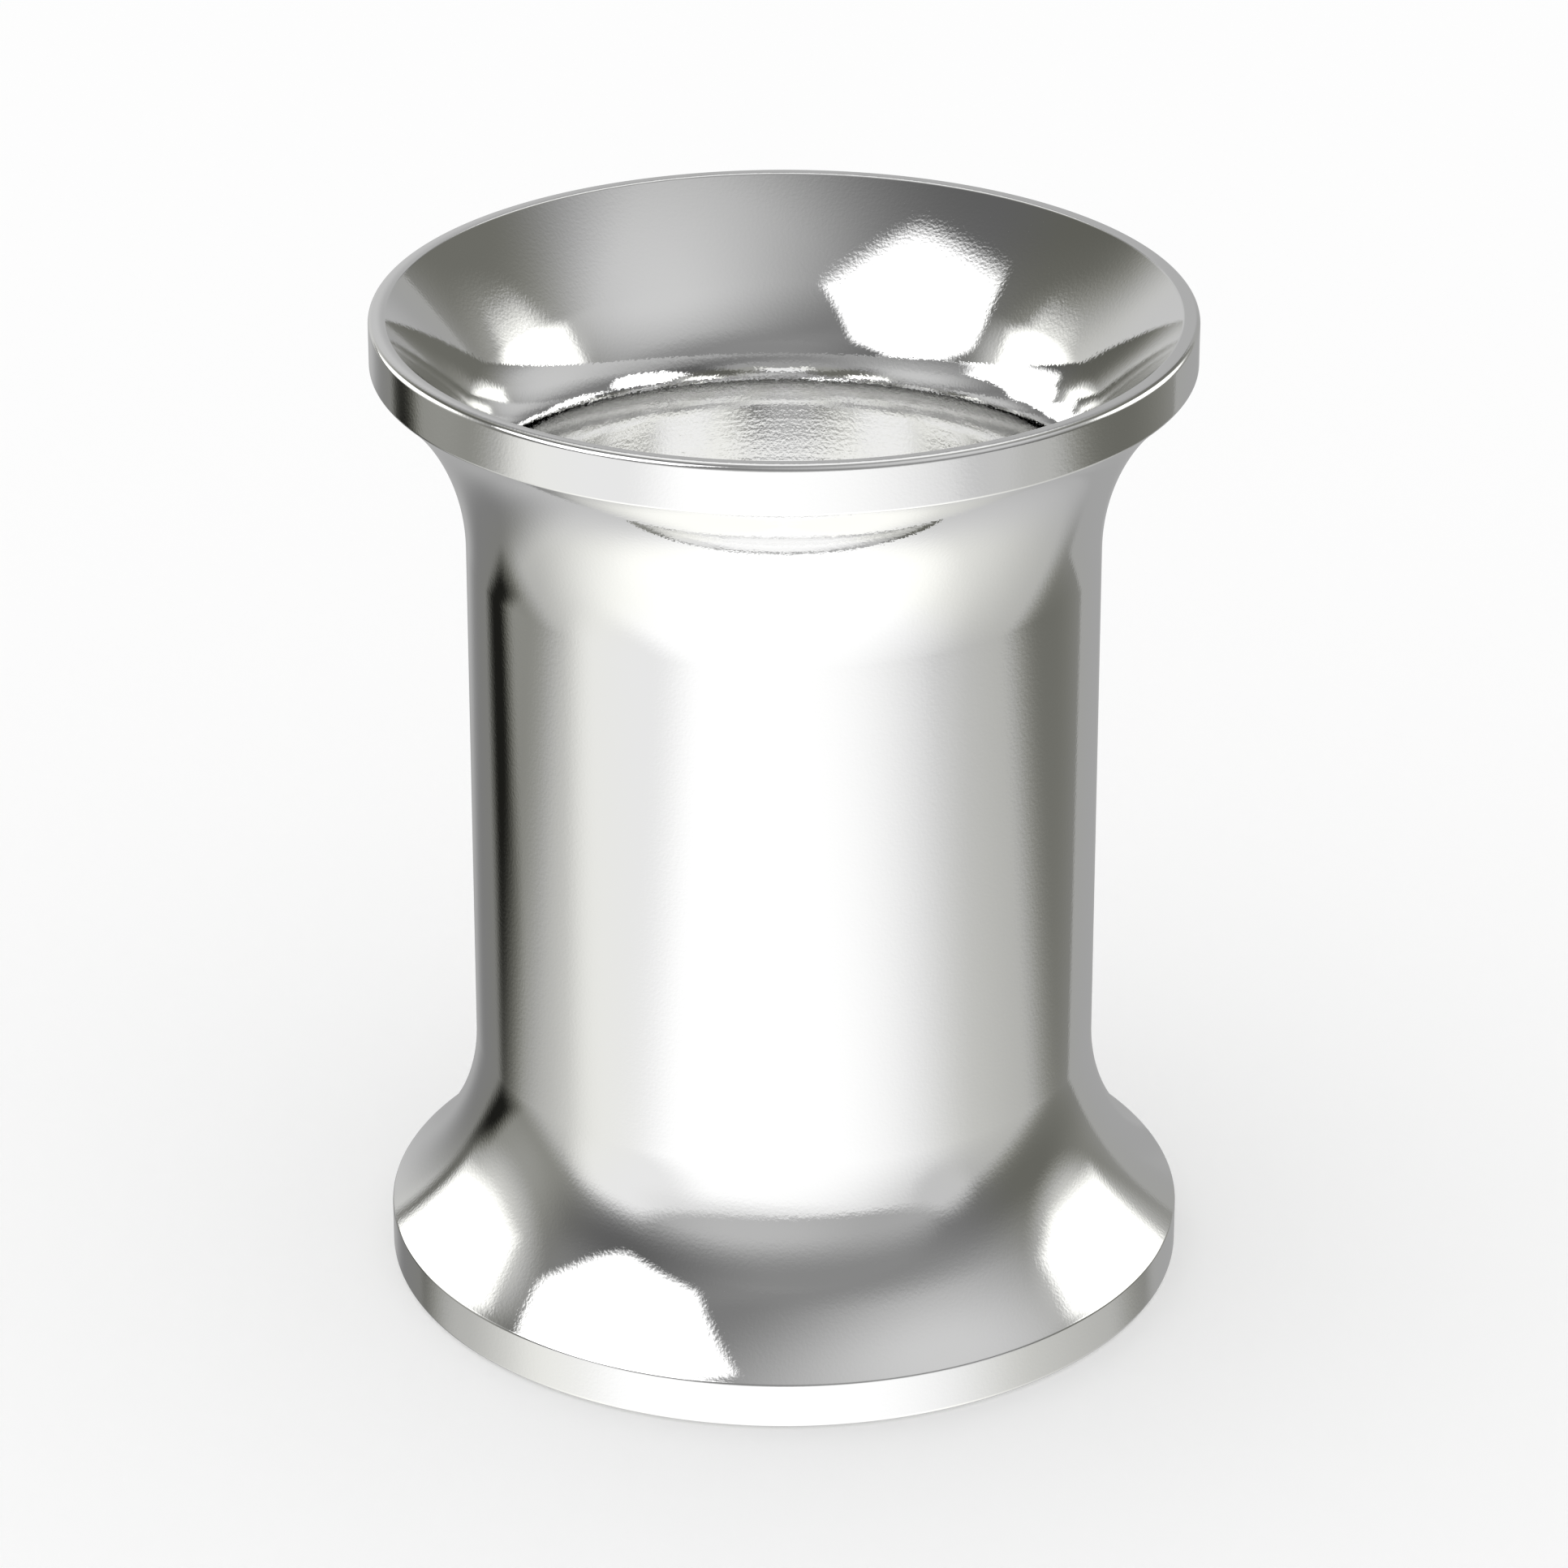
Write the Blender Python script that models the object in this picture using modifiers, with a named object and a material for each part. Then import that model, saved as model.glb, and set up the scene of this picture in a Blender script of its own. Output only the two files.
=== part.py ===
"""Double-flared ear tunnel, turned from one piece of steel and polished.

Units are metres, +Z runs up the bore. The tunnel stands on its lower rim, centred on the origin,
with the flat land of that rim at z = 0.
"""

import math

import bpy

# Driving dimensions
SHAFT_RADIUS = 0.004
RIM_RADIUS = 0.00515
BORE_RADIUS = 0.003375
LENGTH = 0.013
RIM_BAND = 0.00062
STRAIGHT_SHAFT = 0.00675
STRAIGHT_BORE = 0.00763
THROAT_RADIUS = 0.00248
THROAT_BEND = math.radians(39)
LAND_WIDTH = 0.0002
EDGE_RADIUS = 0.00005

# Facets of the solid
ROUND_STEPS = 80
FLARE_STEPS = 7
THROAT_STEPS = 5
DISH_STEPS = 3
RIM_EDGE_STEPS = 3
SOFT_EDGE_STEPS = 2
SHARP_ANGLE = math.radians(40)
MERGE_DISTANCE = 1e-6

# Finish
STEEL_COLOUR = (0.78, 0.77, 0.75, 1.0)
STEEL_ROUGHNESS = 0.06


def clear_scene():
    for obj in list(bpy.data.objects):
        bpy.data.objects.remove(obj, do_unlink=True)


def rounded_corner(corner, arriving, leaving, steps):
    """Points of the small arc that rounds a corner, given the unit directions on each side of it."""
    turn = math.acos(arriving[0] * leaving[0] + arriving[1] * leaving[1])
    setback = EDGE_RADIUS * math.tan(turn / 2)
    start = (corner[0] - setback * arriving[0], corner[1] - setback * arriving[1])
    # The outline turns clockwise, so the arc's centre is on the right of the arriving side.
    centre = (start[0] + EDGE_RADIUS * arriving[1], start[1] - EDGE_RADIUS * arriving[0])
    points = []
    for step in range(steps + 1):
        angle = turn * step / steps
        across = EDGE_RADIUS * math.cos(angle)
        along = EDGE_RADIUS * math.sin(angle)
        points.append(
            (
                centre[0] - across * arriving[1] + along * arriving[0],
                centre[1] + across * arriving[0] + along * arriving[1],
            )
        )
    return points


def bent_wall(start, slope_at_start, slope_at_end, bend_radius, steps):
    """Points of an arc from the start point, whose slope from the axis grows from one angle to the other."""
    points = []
    for step in range(steps + 1):
        slope = slope_at_start + (slope_at_end - slope_at_start) * step / steps
        across = bend_radius * (math.cos(slope_at_start) - math.cos(slope))
        along = bend_radius * (math.sin(slope) - math.sin(slope_at_start))
        points.append((start[0] + across, start[1] + along))
    return points


def flare_shape():
    """Radius and full bend of the curve from the shaft to the underside of the rim."""
    rise = RIM_RADIUS - SHAFT_RADIUS
    run = LENGTH / 2 - RIM_BAND - STRAIGHT_SHAFT / 2
    bend_radius = (rise**2 + run**2) / (2 * rise)
    return bend_radius, math.acos(1 - rise / bend_radius)


def dish_shape(throat_end):
    """Radius and last slope of the shallow dish, which goes on from the throat's curve and meets the land."""
    across = RIM_RADIUS - LAND_WIDTH - throat_end[0]
    along = LENGTH / 2 - throat_end[1]
    half_bend = math.atan2(across, along) - THROAT_BEND
    bend_radius = math.hypot(across, along) / (2 * math.sin(half_bend))
    return bend_radius, THROAT_BEND + 2 * half_bend


def upper_half():
    """Outline of the upper half as (radius, height over the middle): up the bore, out over the rim, down outside."""
    throat_start = (BORE_RADIUS, STRAIGHT_BORE / 2)
    throat = bent_wall(throat_start, 0.0, THROAT_BEND, THROAT_RADIUS, THROAT_STEPS)
    dish_radius, dish_angle = dish_shape(throat[-1])
    up_the_dish = (math.sin(dish_angle), math.cos(dish_angle))
    flare_start = (SHAFT_RADIUS, STRAIGHT_SHAFT / 2)
    flare_radius, flare_angle = flare_shape()
    down_the_flare = (-math.sin(flare_angle), -math.cos(flare_angle))
    outwards = (1.0, 0.0)
    downwards = (0.0, -1.0)
    top = LENGTH / 2

    dish = bent_wall(throat[-1], THROAT_BEND, dish_angle, dish_radius, DISH_STEPS)
    inner_edge = rounded_corner((RIM_RADIUS - LAND_WIDTH, top), up_the_dish, outwards, SOFT_EDGE_STEPS)
    outer_edge = rounded_corner((RIM_RADIUS, top), outwards, downwards, RIM_EDGE_STEPS)
    under_edge = rounded_corner((RIM_RADIUS, top - RIM_BAND), downwards, down_the_flare, SOFT_EDGE_STEPS)
    flare = bent_wall(flare_start, 0.0, flare_angle, flare_radius, FLARE_STEPS)
    # The rounded edges stand for the last points of the dish and of the flare, so those two are left out.
    return throat + dish[1:-1] + inner_edge + outer_edge + under_edge + flare[-2::-1]


def turned_outline():
    """The whole closed outline as (radius, height over the floor), the lower half mirrored from the upper one."""
    upper = upper_half()
    lower = [(radius, -height) for radius, height in reversed(upper)]
    return [(radius, height + LENGTH / 2) for radius, height in upper + lower]


def polished_steel():
    material = bpy.data.materials.new("polished_steel")
    material.use_nodes = True
    shader = material.node_tree.nodes["Principled BSDF"]
    shader.inputs["Base Color"].default_value = STEEL_COLOUR
    shader.inputs["Metallic"].default_value = 1.0
    shader.inputs["Roughness"].default_value = STEEL_ROUGHNESS
    return material


def turned_piece(name, outline, material, collection):
    """The outline in the XZ plane, turned a full circle round Z and shaded smooth between its edges."""
    profile = bpy.data.meshes.new(name + "_profile")
    points = [(radius, 0.0, height) for radius, height in outline]
    edges = [(index, (index + 1) % len(points)) for index in range(len(points))]
    profile.from_pydata(points, edges, [])
    piece = bpy.data.objects.new(name, profile)
    collection.objects.link(piece)

    screw = piece.modifiers.new("turn", "SCREW")
    screw.axis = "Z"
    screw.angle = 2 * math.pi
    screw.steps = ROUND_STEPS
    screw.render_steps = ROUND_STEPS
    screw.use_merge_vertices = True
    screw.merge_threshold = MERGE_DISTANCE

    graph = bpy.context.evaluated_depsgraph_get()
    turned = bpy.data.meshes.new_from_object(piece.evaluated_get(graph))
    turned.name = name
    piece.modifiers.clear()
    piece.data = turned
    bpy.data.meshes.remove(profile)
    turned.shade_smooth()
    turned.set_sharp_from_angle(angle=SHARP_ANGLE)
    turned.materials.append(material)
    return piece


def main():
    clear_scene()
    collection = bpy.data.collections.new("ear_tunnel")
    bpy.context.scene.collection.children.link(collection)
    turned_piece("tunnel_body", turned_outline(), polished_steel(), collection)


main()
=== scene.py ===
"""Looks of a double-flared ear tunnel, turned from steel and polished to a mirror.

Lengths are metres. +Z runs up the bore, and the tunnel stands on its lower rim at z = 0.
"""

import math

import bmesh
import bpy
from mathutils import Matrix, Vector


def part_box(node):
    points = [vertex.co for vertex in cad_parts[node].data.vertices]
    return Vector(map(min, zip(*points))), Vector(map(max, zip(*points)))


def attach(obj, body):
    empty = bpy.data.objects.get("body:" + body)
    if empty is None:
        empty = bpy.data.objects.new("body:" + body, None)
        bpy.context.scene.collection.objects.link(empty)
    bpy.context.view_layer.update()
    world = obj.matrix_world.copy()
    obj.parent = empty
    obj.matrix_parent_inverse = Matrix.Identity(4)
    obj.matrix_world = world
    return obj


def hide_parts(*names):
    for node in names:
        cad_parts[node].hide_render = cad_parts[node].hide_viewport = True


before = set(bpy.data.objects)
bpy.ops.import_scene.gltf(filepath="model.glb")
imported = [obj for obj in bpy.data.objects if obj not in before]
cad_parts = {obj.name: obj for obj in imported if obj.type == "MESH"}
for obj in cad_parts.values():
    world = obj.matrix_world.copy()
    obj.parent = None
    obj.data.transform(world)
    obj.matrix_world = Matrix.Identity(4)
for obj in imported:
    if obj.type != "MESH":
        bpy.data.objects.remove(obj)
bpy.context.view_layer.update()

# The tunnel, with its outer sizes taken from the frame
tunnel_low, tunnel_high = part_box("tunnel_body")
LENGTH = tunnel_high.z - tunnel_low.z
RIM_RADIUS = tunnel_high.x
SHAFT_RADIUS = 0.004
BORE_RADIUS = 0.003375
RIM_BAND = 0.00062
STRAIGHT_SHAFT = 0.00675
STRAIGHT_BORE = 0.00763
THROAT_RADIUS = 0.00248
THROAT_BEND = math.radians(39)
LAND_WIDTH = 0.0002
EDGE_RADIUS = 0.00005
# The land is an arc that rises to its crest and falls again by this angle, and its outer edge is rounder
LAND_CROWN = math.radians(10)
RIM_EDGE_RADIUS = 0.00007

# Fineness of the turned surface, and the attribute that carries its exact normals
ROUND_STEPS = 360
BORE_STEPS = 12
THROAT_STEPS = 26
DISH_STEPS = 16
SOFT_EDGE_STEPS = 5
LAND_STEPS = 8
RIM_EDGE_STEPS = 8
BAND_STEPS = 4
FLARE_STEPS = 34
SHAFT_STEPS = 10
MERGE_DISTANCE = 1e-7
TURNED_NORMAL = "turned_normal"

# Camera, aimed at the middle of the tunnel
CAMERA_DISTANCE = 0.08312
CAMERA_ELEVATION = math.radians(25.12)
CAMERA_LENS = 149.0
SENSOR_WIDTH = 36.0
NEAREST_SEEN = 0.001

# Floor and the light that falls on it
WHITE = (1.0, 1.0, 1.0, 1.0)
WORLD_LIGHT = 1.0
FLOOR_RADIUS = 0.8
FLOOR_DROP = 0.00001
FLOOR_SIDES = 96
FLOOR_GREY = 0.985

# The studio is a dome, pitched to face the camera as it looks down. Only the steel sees it
STUDIO_PITCH = math.radians(24.13)
STUDIO_RADIUS = 0.105
STUDIO_HEIGHT = 0.002
STUDIO_FINENESS = 5
ROOM_LIGHT = 0.21
CORNER_ROUNDING = 4.0

# The light at the studio's two sides has a tint, which grows paler up to the brightness TINT_FADES_AT. The
# middle of a side, and how far from it the tint is still full and is gone, are degrees of azimuth.
DIM_TINT = (1.0, 1.0, 0.84, 1.0)
BRIGHT_TINT = (1.0, 1.0, 0.96, 1.0)
TINT_FADES_AT = 0.4
TINT_MIDDLE = 108.0
TINT_FULL = 15.0
TINT_GONE = 50.0

# What the steel reflects, painted one over the other: first ovals, then panels with straight edges.
# Angles are in degrees. The camera is near azimuth 0 and elevation 0, and azimuth grows to its right.
ALL_ROUND = 9999
# name, azimuth, elevation, half width, half height, softness as a share of the oval, brightness, strength
STUDIO_WALLS = (
    ("back wall", 175, 5, 32, 60, 0.7, 0.43, 1.0),
    ("left wall", -152, 32, 22, 24, 0.7, 0.58, 1.0),
    ("right wall", 41, 34.5, 33, 27, 0.91, 0.64, 1.0),
    ("left ceiling", -80, 57, 42, 16, 0.6, 0.12, 1.0),
    ("right ceiling", 112, 53, 30, 14, 0.6, 0.16, 1.0),
    ("back of the ceiling", -163, 50, 20, 9, 0.6, 0.56, 1.0),
    ("top of the room", 0, 90, ALL_ROUND, 26, 0.3, 0.36, 1.0),
    ("ceiling lamp", 176, 74, 17, 10, 0.25, 0.95, 1.0),
    ("edge of the floor", 0, -90, ALL_ROUND, 74, 0.06, 0.44, 1.0),
    ("floor", 0, -90, ALL_ROUND, 48, 0.65, 1.0, 1.0),
    ("front floor", -23, -58, 66, 43, 0.6, 1.09, 1.0),
    ("left front floor", -64, -27, 23, 13, 0.4, 0.86, 1.0),
    ("right front floor", 62, -21, 10, 9, 0.5, 0.57, 1.0),
    ("middle of the floor", 0, -90, ALL_ROUND, 34, 0.3, 1.15, 1.0),
    ("back of the floor", 180, -38, 24, 20, 0.8, 0.55, 0.8),
    ("front curve", 2.5, -13, 51, 14.9, 0.11, 0.40, 1.0),
    ("front curve glow", -12, -22, 26, 8, 0.8, 0.53, 0.8),
    ("skirting", 20, -3, 122, 9, 0.8, 0.24, 0.9),
    ("left skirting", -53, -3, 28, 9, 0.9, 0.12, 1.0),
    ("right skirting", 94, -7, 34, 8, 0.8, 0.14, 1.0),
    ("left corner", -145, -9, 13, 18, 0.6, 0.21, 1.0),
    ("left glow", -104, 2, 18, 14, 0.8, 0.34, 0.9),
    ("left box glow", -108, 21, 25, 18, 0.45, 0.8, 1.0),
    ("right box glow", 104, 21, 21, 18, 0.45, 0.85, 1.0),
)
# name, edge softness in degrees, brightness, corners as azimuth and elevation, anticlockwise
STUDIO_PANELS = (
    ("right side wall", 1.5, 0.37, ((137, -12), (165, -12), (165, 50), (137, 50))),
    ("far end of the side wall", 8.0, 0.44, ((154, 16), (187, 16), (187, 60), (154, 60))),
    ("left post", 3.0, 0.13, ((-136.5, -5), (-130, -5), (-132, 30), (-136.5, 30))),
    ("left flag", 4.0, 0.012, ((-135.5, -12), (-121, -12), (-125, 0), (-130, 3), (-135.5, 3))),
    (
        "left box",
        5.0,
        1.8,
        ((-131, 28), (-127, 10), (-105, 9), (-89, 14), (-86, 34), (-97, 40), (-115, 37.5)),
    ),
    ("right box", 5.0, 1.8, ((82, 35), (82, 17), (93, 9), (121, 9), (125, 29), (114, 38.5), (97, 41))),
    (
        "main box",
        2.5,
        1.8,
        ((-72.5, 20), (-56, 1.5), (-50, -1.5), (-25.5, 5.5), (-12.5, 37), (-38, 46.5), (-72.5, 44)),
    ),
)

# Steel, with a haze between two roughnesses
STEEL_COLOUR = (0.93, 0.93, 0.928, 1.0)
SMOOTH_ROUGHNESS = 0.012
HAZY_ROUGHNESS = 0.035
HAZE_SCALE = 900.0
HAZE_DETAIL = 4.0
# The steel is smooth up to the first level of the haze's noise, and hazy from the second
HAZE_FROM = 0.35
HAZE_TO = 0.65

# Grain and turning rings, deeper on the wall of the straight bore, with a short fade past its ends
GRAIN_SCALE = 24000.0
GRAIN_DETAIL = 1.0
GRAIN_DEPTH = 6e-7
BORE_GRAIN_DEPTH = 9e-7
RING_SCALE = 12000.0
RING_DETAIL = 2.0
RING_DEPTH = 1e-7
BORE_RING_DEPTH = 9e-7
BORE_FINISH_FADE = 0.0005

REFLECTIONS_FOLLOWED = 16


class Bench:
    """Makes nodes in one tree and feeds their inputs, by name, from other nodes or from plain values."""

    def __init__(self, tree):
        self.tree = tree

    def feed(self, socket, given):
        if isinstance(given, bpy.types.NodeSocket):
            self.tree.links.new(given, socket)
        else:
            socket.default_value = given

    def node(self, kind, inputs=None, **settings):
        made = self.tree.nodes.new(kind)
        for name, value in settings.items():
            setattr(made, name, value)
        for name, given in (inputs or {}).items():
            self.feed(made.inputs[name], given)
        return made

    def maths(self, operation, *values):
        made = self.node("ShaderNodeMath", operation=operation)
        for socket, given in zip(made.inputs, values):
            self.feed(socket, given)
        return made.outputs["Value"]

    def add(self, *values):
        total = values[0]
        for value in values[1:]:
            total = self.maths("ADD", total, value)
        return total

    def subtract(self, first, second):
        return self.maths("SUBTRACT", first, second)

    def multiply(self, *values):
        product = values[0]
        for value in values[1:]:
            product = self.maths("MULTIPLY", product, value)
        return product

    def divide(self, first, second):
        return self.maths("DIVIDE", first, second)

    def sine(self, angle):
        return self.maths("SINE", angle)

    def cosine(self, angle):
        return self.maths("COSINE", angle)

    def fade(self, value, none_at, full_at, most=1.0):
        """A smooth ramp from 0 where the value is none_at to most where it is full_at."""
        ramp = self.node(
            "ShaderNodeMapRange",
            {"Value": value, "From Min": none_at, "From Max": full_at, "To Min": 0.0, "To Max": most},
            interpolation_type="SMOOTHSTEP",
        )
        return ramp.outputs["Result"]

    def blend(self, first, second, share):
        mixed = self.node("ShaderNodeMix", {"Factor": share, "A": first, "B": second}, data_type="FLOAT")
        return mixed.outputs["Result"]

    def blend_colours(self, first, second, share):
        mixed = self.node("ShaderNodeMix", {"Factor": share}, data_type="RGBA", clamp_factor=True)
        for socket, given in zip(self.of_type(mixed.inputs, "RGBA"), (first, second)):
            self.feed(socket, given)
        return self.of_type(mixed.outputs, "RGBA")[0]

    def of_type(self, sockets, socket_type):
        return [socket for socket in sockets if socket.type == socket_type]

    def turned_from(self, azimuth, middle):
        """Degrees from the middle to an azimuth, between -180 and 180."""
        return self.maths("WRAP", self.subtract(azimuth, middle), 180.0, -180.0)

    def vector(self, x, y, z):
        return self.node("ShaderNodeCombineXYZ", {"X": x, "Y": y, "Z": z}).outputs["Vector"]

    def split(self, vector):
        parts = self.node("ShaderNodeSeparateXYZ", {"Vector": vector}).outputs
        return parts["X"], parts["Y"], parts["Z"]


def new_group(name, kind, inputs, outputs):
    """A node group with sockets given as (name, socket type), its bench, its inputs and its output node."""
    tree = bpy.data.node_groups.new(name, kind)
    for label, socket_type in inputs:
        tree.interface.new_socket(name=label, in_out="INPUT", socket_type=socket_type)
    for label, socket_type in outputs:
        tree.interface.new_socket(name=label, in_out="OUTPUT", socket_type=socket_type)
    bench = Bench(tree)
    return tree, bench, bench.node("NodeGroupInput").outputs, bench.node("NodeGroupOutput")


def flare_shape():
    """Radius and bend of the arc that leaves the shaft and runs smoothly into the edge under the rim."""
    rise = RIM_RADIUS - SHAFT_RADIUS
    run = LENGTH / 2 - RIM_BAND - STRAIGHT_SHAFT / 2
    half_tangent = (math.sqrt(run**2 + 4 * EDGE_RADIUS * rise) - run) / (2 * EDGE_RADIUS)
    bend = 2 * math.atan(half_tangent)
    return rise / (1 - math.cos(bend)) - EDGE_RADIUS, bend


def dish_shape():
    """Radius and bend of the shallow dish over the throat, and the radius of the crowned land past it.

    The land is an arc that rises and falls by the same angle, and its crest is the tunnel's top.
    """
    throat_radius = BORE_RADIUS + THROAT_RADIUS * (1 - math.cos(THROAT_BEND))
    throat_height = STRAIGHT_BORE / 2 + THROAT_RADIUS * math.sin(THROAT_BEND)
    along = LENGTH / 2 - throat_height
    slope = 2 * math.atan2(RIM_RADIUS - LAND_WIDTH - throat_radius, along) - THROAT_BEND
    dish_rise = math.sin(slope) - math.sin(THROAT_BEND)
    dish_spread = (math.cos(THROAT_BEND) - math.cos(slope)) / dish_rise
    below_land = along - EDGE_RADIUS * (math.cos(LAND_CROWN) - math.sin(slope))
    inner_edge_width = EDGE_RADIUS * (math.cos(slope) - math.sin(LAND_CROWN))
    outer_edge_width = RIM_EDGE_RADIUS * (1 - math.sin(LAND_CROWN))
    land_width = RIM_RADIUS - throat_radius - inner_edge_width - outer_edge_width - dish_spread * below_land
    crown = 1 - math.cos(LAND_CROWN)
    land_radius = land_width / (2 * math.sin(LAND_CROWN) - dish_spread * crown)
    dish_radius = (below_land - land_radius * crown) / dish_rise
    return dish_radius, slope - THROAT_BEND, land_radius


def band_run(land_radius):
    """Height of the straight band between the rim's two rounded edges."""
    land_drop = land_radius * (1 - math.cos(LAND_CROWN)) + RIM_EDGE_RADIUS * math.cos(LAND_CROWN)
    return RIM_BAND - land_drop - EDGE_RADIUS * math.tan(flare_shape()[1] / 2)


def turned_band_tree():
    """One band of a turned surface: an arc or a straight stretch of the outline, swept once round the axis.

    The outline is walked with the metal on its right. Slope is the angle between the walk and the axis.
    A negative turn bends the walk to the left. The outputs say where the next band starts.
    """
    tree, bench, given, out = new_group(
        "turned_band",
        "GeometryNodeTree",
        (
            ("Start Radius", "NodeSocketFloat"),
            ("Start Height", "NodeSocketFloat"),
            ("Start Slope", "NodeSocketFloat"),
            ("Turn", "NodeSocketFloat"),
            ("Bend Radius", "NodeSocketFloat"),
            ("Run", "NodeSocketFloat"),
            ("Steps", "NodeSocketInt"),
            ("Round Steps", "NodeSocketInt"),
        ),
        (
            ("Mesh", "NodeSocketGeometry"),
            ("End Radius", "NodeSocketFloat"),
            ("End Height", "NodeSocketFloat"),
            ("End Slope", "NodeSocketFloat"),
        ),
    )
    start_slope = given["Start Slope"]
    signed_bend = bench.multiply(bench.maths("SIGN", given["Turn"]), given["Bend Radius"])

    def walked(share):
        """Radius, height and slope after a share of the band, from 0 to 1."""
        slope = bench.add(start_slope, bench.multiply(given["Turn"], share))
        run = bench.multiply(given["Run"], share)
        across = bench.subtract(bench.cosine(start_slope), bench.cosine(slope))
        along = bench.subtract(bench.sine(slope), bench.sine(start_slope))
        radius = bench.add(
            given["Start Radius"],
            bench.multiply(signed_bend, across),
            bench.multiply(run, bench.sine(start_slope)),
        )
        height = bench.add(
            given["Start Height"],
            bench.multiply(signed_bend, along),
            bench.multiply(run, bench.cosine(start_slope)),
        )
        return radius, height, slope

    grid = bench.node(
        "GeometryNodeMeshGrid",
        {
            "Size X": 1.0,
            "Size Y": 1.0,
            "Vertices X": bench.add(given["Steps"], 1),
            "Vertices Y": bench.add(given["Round Steps"], 1),
        },
    )
    grid_x, grid_y, grid_z = bench.split(bench.node("GeometryNodeInputPosition").outputs["Position"])
    radius, height, slope = walked(bench.add(grid_x, 0.5))
    angle = bench.multiply(bench.add(grid_y, 0.5), 2 * math.pi)
    east, north = bench.cosine(angle), bench.sine(angle)
    facing = bench.multiply(bench.cosine(slope), -1.0)
    normal = bench.vector(bench.multiply(facing, east), bench.multiply(facing, north), bench.sine(slope))
    normals = bench.node(
        "GeometryNodeStoreNamedAttribute",
        {"Geometry": grid.outputs["Mesh"], "Name": TURNED_NORMAL, "Value": normal},
        data_type="FLOAT_VECTOR",
        domain="POINT",
    )
    placed = bench.node(
        "GeometryNodeSetPosition",
        {
            "Geometry": normals.outputs["Geometry"],
            "Position": bench.vector(bench.multiply(radius, east), bench.multiply(radius, north), height),
        },
    )
    bench.feed(out.inputs["Mesh"], placed.outputs["Geometry"])
    for label, end in zip(("End Radius", "End Height", "End Slope"), walked(1.0)):
        bench.feed(out.inputs[label], end)
    return tree


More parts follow.
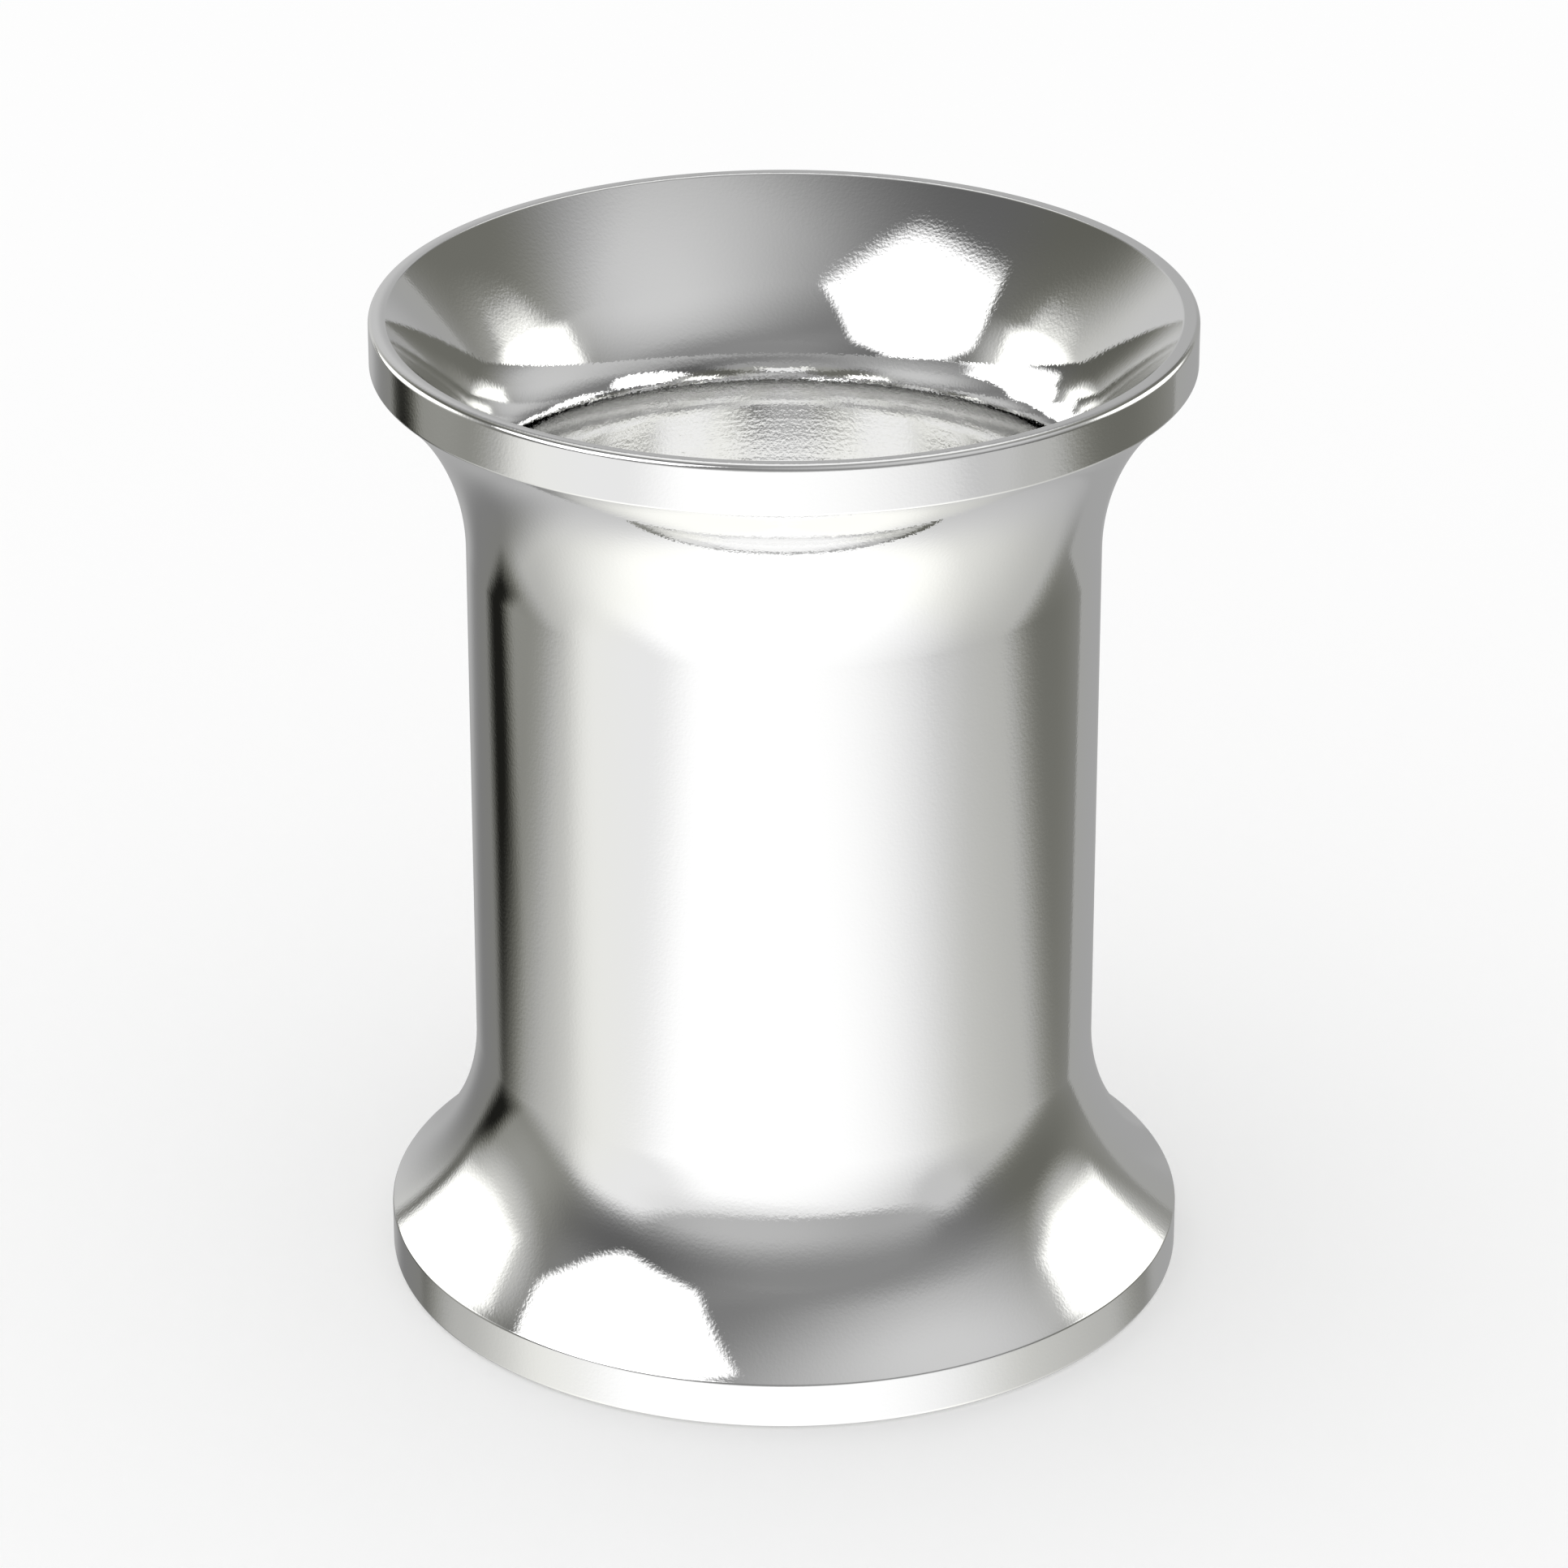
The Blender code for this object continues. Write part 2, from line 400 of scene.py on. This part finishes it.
def turned_tunnel_tree():
    """The whole tunnel, a closed chain of turned bands from the bore's middle round both ends and back."""
    tree, bench, given, out = new_group(
        "turned_tunnel",
        "GeometryNodeTree",
        (
            ("Length", "NodeSocketFloat"),
            ("Bore Radius", "NodeSocketFloat"),
            ("Straight Bore", "NodeSocketFloat"),
            ("Throat Radius", "NodeSocketFloat"),
            ("Throat Bend", "NodeSocketFloat"),
            ("Dish Radius", "NodeSocketFloat"),
            ("Dish Bend", "NodeSocketFloat"),
            ("Land Radius", "NodeSocketFloat"),
            ("Land Crown", "NodeSocketFloat"),
            ("Edge Radius", "NodeSocketFloat"),
            ("Rim Edge Radius", "NodeSocketFloat"),
            ("Band Run", "NodeSocketFloat"),
            ("Flare Radius", "NodeSocketFloat"),
            ("Flare Bend", "NodeSocketFloat"),
            ("Straight Shaft", "NodeSocketFloat"),
            ("Round Steps", "NodeSocketInt"),
            ("Steel", "NodeSocketMaterial"),
        ),
        (("Geometry", "NodeSocketGeometry"),),
    )
    none = 0.0
    edge = given["Edge Radius"]
    quarter = math.pi / 2
    edge_turn = bench.subtract(quarter, given["Land Crown"])
    inner_turn = bench.subtract(edge_turn, bench.add(given["Throat Bend"], given["Dish Bend"]))
    # turn, bend radius, run, steps
    upper_half = (
        (none, none, bench.divide(given["Straight Bore"], 2.0), BORE_STEPS),
        (given["Throat Bend"], given["Throat Radius"], none, THROAT_STEPS),
        (given["Dish Bend"], given["Dish Radius"], none, DISH_STEPS),
        (inner_turn, edge, none, SOFT_EDGE_STEPS),
        (bench.multiply(given["Land Crown"], 2.0), given["Land Radius"], none, LAND_STEPS),
        (edge_turn, given["Rim Edge Radius"], none, RIM_EDGE_STEPS),
        (none, none, given["Band Run"], BAND_STEPS),
        (given["Flare Bend"], edge, none, SOFT_EDGE_STEPS),
        (bench.multiply(given["Flare Bend"], -1.0), given["Flare Radius"], none, FLARE_STEPS),
        (none, none, bench.divide(given["Straight Shaft"], 2.0), SHAFT_STEPS),
    )
    band_tree = turned_band_tree()
    joined = bench.node("GeometryNodeJoinGeometry")
    radius, height, slope = given["Bore Radius"], bench.divide(given["Length"], 2.0), none
    for turn, bend_radius, run, steps in upper_half + upper_half[::-1]:
        band = bench.node(
            "GeometryNodeGroup",
            node_tree=band_tree,
            inputs={
                "Start Radius": radius,
                "Start Height": height,
                "Start Slope": slope,
                "Turn": turn,
                "Bend Radius": bend_radius,
                "Run": run,
                "Steps": steps,
                "Round Steps": given["Round Steps"],
            },
        )
        bench.feed(joined.inputs["Geometry"], band.outputs["Mesh"])
        radius, height, slope = (band.outputs[label] for label in ("End Radius", "End Height", "End Slope"))
    welded = bench.node(
        "GeometryNodeMergeByDistance", {"Geometry": joined.outputs["Geometry"], "Distance": MERGE_DISTANCE}
    )
    smooth = bench.node("GeometryNodeSetShadeSmooth", {"Geometry": welded.outputs["Geometry"]})
    kept_normal = bench.node(
        "GeometryNodeInputNamedAttribute", {"Name": TURNED_NORMAL}, data_type="FLOAT_VECTOR"
    )
    exact = bench.node(
        "GeometryNodeSetMeshNormal",
        {"Mesh": smooth.outputs["Geometry"], "Custom Normal": kept_normal.outputs["Attribute"]},
        mode="FREE",
        domain="POINT",
    )
    clean = bench.node(
        "GeometryNodeRemoveAttribute", {"Geometry": exact.outputs["Mesh"], "Name": TURNED_NORMAL}
    )
    real = bench.node("GeometryNodeRealizeInstances", {"Geometry": clean.outputs["Geometry"]})
    steel = bench.node(
        "GeometryNodeSetMaterial", {"Geometry": real.outputs["Geometry"], "Material": given["Steel"]}
    )
    bench.feed(out.inputs["Geometry"], steel.outputs["Geometry"])
    return tree


def made_by_nodes(name, tree, sizes):
    """A plain mesh object from a tree of geometry nodes, whose inputs are given by name."""
    piece = bpy.data.objects.new(name, bpy.data.meshes.new(name))
    bpy.context.scene.collection.objects.link(piece)
    modifier = piece.modifiers.new(tree.name, "NODES")
    modifier.node_group = tree
    identifiers = {
        item.name: item.identifier
        for item in tree.interface.items_tree
        if item.item_type == "SOCKET" and item.in_out == "INPUT"
    }
    for label, size in sizes.items():
        modifier[identifiers[label]] = size
    graph = bpy.context.evaluated_depsgraph_get()
    mesh = bpy.data.meshes.new_from_object(piece.evaluated_get(graph))
    mesh.name = name
    piece.modifiers.clear()
    piece.data = mesh
    return piece


def turned_tunnel(steel):
    flare_radius, flare_bend = flare_shape()
    dish_radius, dish_bend, land_radius = dish_shape()
    sizes = {
        "Length": LENGTH,
        "Bore Radius": BORE_RADIUS,
        "Straight Bore": STRAIGHT_BORE,
        "Throat Radius": THROAT_RADIUS,
        "Throat Bend": THROAT_BEND,
        "Dish Radius": dish_radius,
        "Dish Bend": dish_bend,
        "Land Radius": land_radius,
        "Land Crown": LAND_CROWN,
        "Edge Radius": EDGE_RADIUS,
        "Rim Edge Radius": RIM_EDGE_RADIUS,
        "Band Run": band_run(land_radius),
        "Flare Radius": flare_radius,
        "Flare Bend": flare_bend,
        "Straight Shaft": STRAIGHT_SHAFT,
        "Round Steps": ROUND_STEPS,
        "Steel": steel,
    }
    return made_by_nodes("polished_tunnel", turned_tunnel_tree(), sizes)


def polished_steel():
    """Mirror-polished steel, with the haze and grain that a polishing mop leaves, and turning rings."""
    material = bpy.data.materials.new("polished_steel")
    material.use_nodes = True
    bench = Bench(material.node_tree)
    shader = material.node_tree.nodes["Principled BSDF"]
    shader.inputs["Base Color"].default_value = STEEL_COLOUR
    shader.inputs["Metallic"].default_value = 1.0
    place = bench.node("ShaderNodeTexCoord").outputs["Object"]
    haze = bench.node("ShaderNodeTexNoise", {"Vector": place, "Scale": HAZE_SCALE, "Detail": HAZE_DETAIL})
    roughness = bench.node(
        "ShaderNodeMapRange",
        {
            "Value": haze.outputs["Fac"],
            "From Min": HAZE_FROM,
            "From Max": HAZE_TO,
            "To Min": SMOOTH_ROUGHNESS,
            "To Max": HAZY_ROUGHNESS,
        },
    )
    bench.feed(shader.inputs["Roughness"], roughness.outputs["Result"])
    x, y, height = bench.split(place)
    from_axis = bench.maths("SQRT", bench.add(bench.multiply(x, x), bench.multiply(y, y)))
    rings = bench.node(
        "ShaderNodeTexNoise",
        {"Vector": bench.vector(from_axis, 0.0, height), "Scale": RING_SCALE, "Detail": RING_DETAIL},
    )
    middle_of_wall = (BORE_RADIUS + SHAFT_RADIUS) / 2
    inside = bench.maths("LESS_THAN", from_axis, middle_of_wall)
    from_middle = bench.maths("ABSOLUTE", bench.subtract(height, LENGTH / 2))
    between_throats = bench.fade(from_middle, STRAIGHT_BORE / 2 + BORE_FINISH_FADE, STRAIGHT_BORE / 2)
    in_bore = bench.multiply(inside, between_throats)
    ringed = bench.node(
        "ShaderNodeBump",
        {
            "Strength": 1.0,
            "Distance": bench.blend(RING_DEPTH, BORE_RING_DEPTH, in_bore),
            "Height": rings.outputs["Fac"],
        },
    )
    grain = bench.node(
        "ShaderNodeTexNoise", {"Vector": place, "Scale": GRAIN_SCALE, "Detail": GRAIN_DETAIL}
    )
    grained = bench.node(
        "ShaderNodeBump",
        {
            "Strength": 1.0,
            "Distance": bench.blend(GRAIN_DEPTH, BORE_GRAIN_DEPTH, in_bore),
            "Height": grain.outputs["Fac"],
            "Normal": ringed.outputs["Normal"],
        },
    )
    bench.feed(shader.inputs["Normal"], grained.outputs["Normal"])
    return material


def studio_wall_tree():
    """Paints one wall of the studio, an oval with a soft edge, over the light that is already there."""
    tree, bench, given, out = new_group(
        "studio_wall",
        "ShaderNodeTree",
        (
            ("Light Behind", "NodeSocketFloat"),
            ("Seen Azimuth", "NodeSocketFloat"),
            ("Seen Elevation", "NodeSocketFloat"),
            ("Azimuth", "NodeSocketFloat"),
            ("Elevation", "NodeSocketFloat"),
            ("Half Width", "NodeSocketFloat"),
            ("Half Height", "NodeSocketFloat"),
            ("Softness", "NodeSocketFloat"),
            ("Brightness", "NodeSocketFloat"),
            ("Strength", "NodeSocketFloat"),
        ),
        (("Light", "NodeSocketFloat"),),
    )
    beside = bench.turned_from(given["Seen Azimuth"], given["Azimuth"])
    narrowing = bench.cosine(bench.maths("RADIANS", given["Seen Elevation"]))
    x = bench.divide(bench.multiply(beside, narrowing), given["Half Width"])
    y = bench.divide(bench.subtract(given["Seen Elevation"], given["Elevation"]), given["Half Height"])
    reach = bench.maths("SQRT", bench.add(bench.multiply(x, x), bench.multiply(y, y)))
    inside = bench.fade(
        reach,
        bench.add(1.0, given["Softness"]),
        bench.subtract(1.0, given["Softness"]),
        given["Strength"],
    )
    bench.feed(out.inputs["Light"], bench.blend(given["Light Behind"], given["Brightness"], inside))
    return tree


def flat_panel(bench, light, azimuth, elevation, softness, brightness, corners):
    """Paints a panel with straight edges and rounded corners over the light that is already there."""
    middle = sum(corner[0] for corner in corners) / len(corners)
    beside = bench.turned_from(azimuth, middle)
    outside = None
    for start, end in zip(corners, corners[1:] + corners[:1]):
        across, along = end[0] - start[0], end[1] - start[1]
        length = math.hypot(across, along)
        outward = (along / length, -across / length)
        to_edge = outward[0] * (start[0] - middle) + outward[1] * start[1]
        distance = bench.subtract(
            bench.add(bench.multiply(beside, outward[0]), bench.multiply(elevation, outward[1])), to_edge
        )
        if outside is None:
            outside = distance
        else:
            outside = bench.maths("SMOOTH_MAX", outside, distance, CORNER_ROUNDING)
    return bench.blend(light, brightness, bench.fade(outside, softness, -softness))


def studio_light(bench):
    """Brightness and tint of the studio in the direction of each point of its dome."""
    place = bench.node("ShaderNodeTexCoord").outputs["Object"]
    towards = bench.node("ShaderNodeVectorMath", operation="NORMALIZE")
    bench.feed(towards.inputs[0], place)
    level = bench.node(
        "ShaderNodeVectorRotate",
        {"Vector": towards.outputs["Vector"], "Angle": STUDIO_PITCH},
        rotation_type="X_AXIS",
    )
    east, north, up = bench.split(level.outputs["Vector"])
    azimuth = bench.maths("DEGREES", bench.maths("ARCTAN2", east, bench.multiply(north, -1.0)))
    elevation = bench.maths("DEGREES", bench.maths("ARCSINE", up))
    wall_tree = studio_wall_tree()
    light = ROOM_LIGHT
    for wall in STUDIO_WALLS:
        name, wall_azimuth, wall_elevation, half_width, half_height, softness, brightness, strength = wall
        painted = bench.node(
            "ShaderNodeGroup",
            node_tree=wall_tree,
            label=name,
            inputs={
                "Light Behind": light,
                "Seen Azimuth": azimuth,
                "Seen Elevation": elevation,
                "Azimuth": wall_azimuth,
                "Elevation": wall_elevation,
                "Half Width": half_width,
                "Half Height": half_height,
                "Softness": softness,
                "Brightness": brightness,
                "Strength": strength,
            },
        )
        light = painted.outputs["Light"]
    for name, softness, brightness, corners in STUDIO_PANELS:
        light = flat_panel(bench, light, azimuth, elevation, softness, brightness, corners)

    from_side = bench.maths("ABSOLUTE", bench.subtract(bench.maths("ABSOLUTE", azimuth), TINT_MIDDLE))
    tint = bench.blend_colours(DIM_TINT, BRIGHT_TINT, bench.divide(light, TINT_FADES_AT))
    tinted = bench.fade(from_side, TINT_GONE, TINT_FULL)
    return light, bench.blend_colours(WHITE, tint, tinted)


def studio_dome():
    """The studio round the tunnel, near enough for its two ends to see it a little differently."""
    material = bpy.data.materials.new("studio")
    material.use_nodes = True
    material.cycles.emission_sampling = "NONE"
    tree = material.node_tree
    tree.nodes.clear()
    bench = Bench(tree)
    light, tint = studio_light(bench)
    glow = bench.node("ShaderNodeEmission", {"Color": tint, "Strength": light})
    bench.node("ShaderNodeOutputMaterial", {"Surface": glow.outputs["Emission"]})

    shape = bmesh.new()
    bmesh.ops.create_icosphere(shape, subdivisions=STUDIO_FINENESS, radius=STUDIO_RADIUS)
    mesh = bpy.data.meshes.new("studio_dome")
    shape.to_mesh(mesh)
    shape.free()
    mesh.materials.append(material)
    dome = bpy.data.objects.new("studio_dome", mesh)
    bpy.context.scene.collection.objects.link(dome)
    dome.location.z = STUDIO_HEIGHT
    dome.visible_camera = False
    dome.visible_diffuse = False
    dome.visible_shadow = False
    return dome


def white_world():
    """Soft white light on the floor, and a pale backdrop for the eye."""
    world = bpy.data.worlds.new("white_world")
    bpy.context.scene.world = world
    world.use_nodes = True
    world.cycles.sampling_method = "NONE"
    tree = world.node_tree
    tree.nodes.clear()
    bench = Bench(tree)
    seen = bench.node("ShaderNodeLightPath").outputs["Is Camera Ray"]
    brightness = bench.blend(WORLD_LIGHT, FLOOR_GREY, seen)
    light = bench.node("ShaderNodeBackground", {"Color": WHITE, "Strength": brightness})
    bench.node("ShaderNodeOutputWorld", {"Surface": light.outputs["Background"]})


def pale_floor():
    """A wide matt floor that the steel doesn't mirror and that can be seen through from below."""
    material = bpy.data.materials.new("matt_floor")
    material.use_nodes = True
    bench = Bench(material.node_tree)
    shader = material.node_tree.nodes["Principled BSDF"]
    shader.inputs["Base Color"].default_value = (FLOOR_GREY, FLOOR_GREY, FLOOR_GREY, 1.0)
    shader.inputs["Roughness"].default_value = 1.0
    shader.inputs["Specular IOR Level"].default_value = 0.0
    from_below = bench.node("ShaderNodeNewGeometry").outputs["Backfacing"]
    one_sided = bench.node("ShaderNodeMixShader", {"Fac": from_below})
    bench.feed(one_sided.inputs[1], shader.outputs["BSDF"])
    bench.feed(one_sided.inputs[2], bench.node("ShaderNodeBsdfTransparent").outputs["BSDF"])
    bench.feed(material.node_tree.nodes["Material Output"].inputs["Surface"], one_sided.outputs["Shader"])

    edge = []
    for side in range(FLOOR_SIDES):
        angle = 2 * math.pi * side / FLOOR_SIDES
        edge.append((FLOOR_RADIUS * math.cos(angle), FLOOR_RADIUS * math.sin(angle), -FLOOR_DROP))
    mesh = bpy.data.meshes.new("pale_floor")
    mesh.from_pydata(edge, [], [list(range(FLOOR_SIDES))])
    mesh.materials.append(material)
    floor = bpy.data.objects.new("pale_floor", mesh)
    bpy.context.scene.collection.objects.link(floor)
    floor.visible_glossy = False
    return floor


def main_camera():
    """A long lens, aimed down at the middle of the tunnel."""
    lens = bpy.data.cameras.new("camera")
    lens.lens = CAMERA_LENS
    lens.sensor_width = SENSOR_WIDTH
    lens.clip_start = NEAREST_SEEN
    camera = bpy.data.objects.new("camera", lens)
    bpy.context.scene.collection.objects.link(camera)
    middle = Vector((0, 0, LENGTH / 2))
    towards_camera = Vector((0, -math.cos(CAMERA_ELEVATION), math.sin(CAMERA_ELEVATION)))
    camera.location = middle + CAMERA_DISTANCE * towards_camera
    camera.rotation_euler = (-towards_camera).to_track_quat("-Z", "Y").to_euler()
    bpy.context.scene.camera = camera


main_camera()
white_world()
pale_floor()
studio_dome()

tunnel = turned_tunnel(polished_steel())
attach(tunnel, "root")
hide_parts("tunnel_body")

scene = bpy.context.scene
scene.view_settings.view_transform = "Standard"
scene.cycles.max_bounces = REFLECTIONS_FOLLOWED
scene.cycles.glossy_bounces = REFLECTIONS_FOLLOWED
